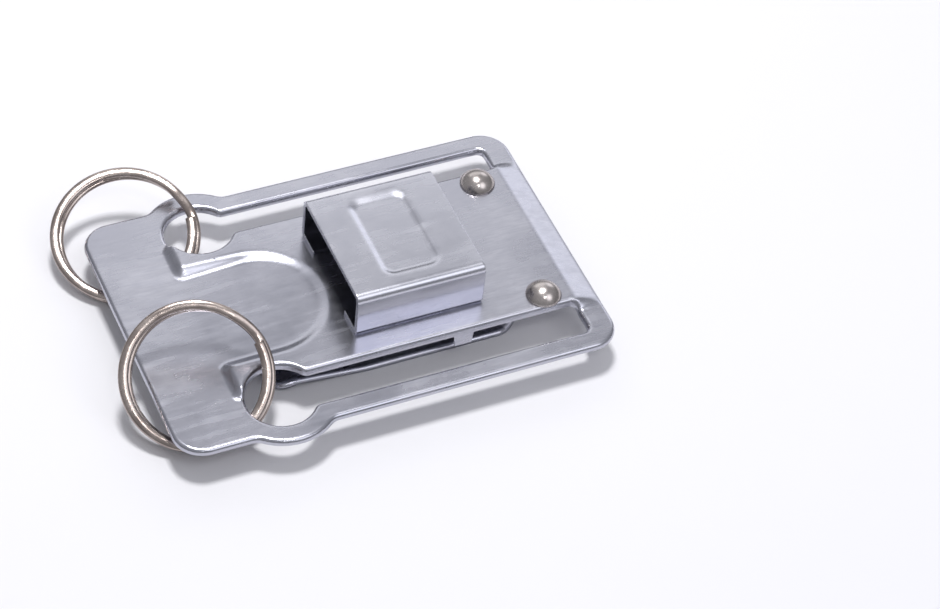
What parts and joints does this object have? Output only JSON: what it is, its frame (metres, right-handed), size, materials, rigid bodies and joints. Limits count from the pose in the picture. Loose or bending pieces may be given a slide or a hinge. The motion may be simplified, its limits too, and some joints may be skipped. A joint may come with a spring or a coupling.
{
  "type": "belt key holder",
  "caption": "Pressed plate key holder that clips over a belt with a riveted spring and carries split rings in keyholes at one end.",
  "frame": {"origin": "centre of the plate's length and width, on the flat back of the belt spring", "axes": "+X from the ring end to the riveted end, +Y across the plate, +Z out of the plate's face, away from the belt"},
  "size_m": [0.0895, 0.07, 0.0179],
  "materials": {
    "plate": "bright zinc plate over pressed steel, softly brushed",
    "bridge": "bright zinc plate over folded steel strip",
    "rivets": "polished nickel plate",
    "spring": "bright zinc plate over spring steel",
    "rings": "nickel plate over hardened wire, drawn and worn"
  },
  "bodies": {
    "plate": {"front_plate": "plate", "bridge": "bridge", "rivets": "rivets", "spring_root": "spring"},
    "spring": {"spring_blade": "spring"},
    "front_ring": {"split_ring_front": "rings"},
    "rear_ring": {"split_ring_rear": "rings"}
  },
  "joints": [
    {"name": "spring_flex", "type": "hinge", "parent": "plate", "child": "spring", "pos_m": [0.0236, 0, 0.0004], "axis": [0, -1, 0], "range_deg": [-3, 9], "stiffness_Nm_per_rad": 3},
    {"name": "front_ring_swing", "type": "hinge", "parent": "plate", "child": "front_ring", "pos_m": [-0.03485, -0.01627, 0.0067], "axis": [0.9495, -0.3136, 0], "range_deg": [-4, 108]},
    {"name": "rear_ring_swing", "type": "hinge", "parent": "plate", "child": "rear_ring", "pos_m": [-0.0327, 0.0272, 0.0067], "axis": [0.8793, -0.4763, 0], "range_deg": [-1, 122]}
  ]
}
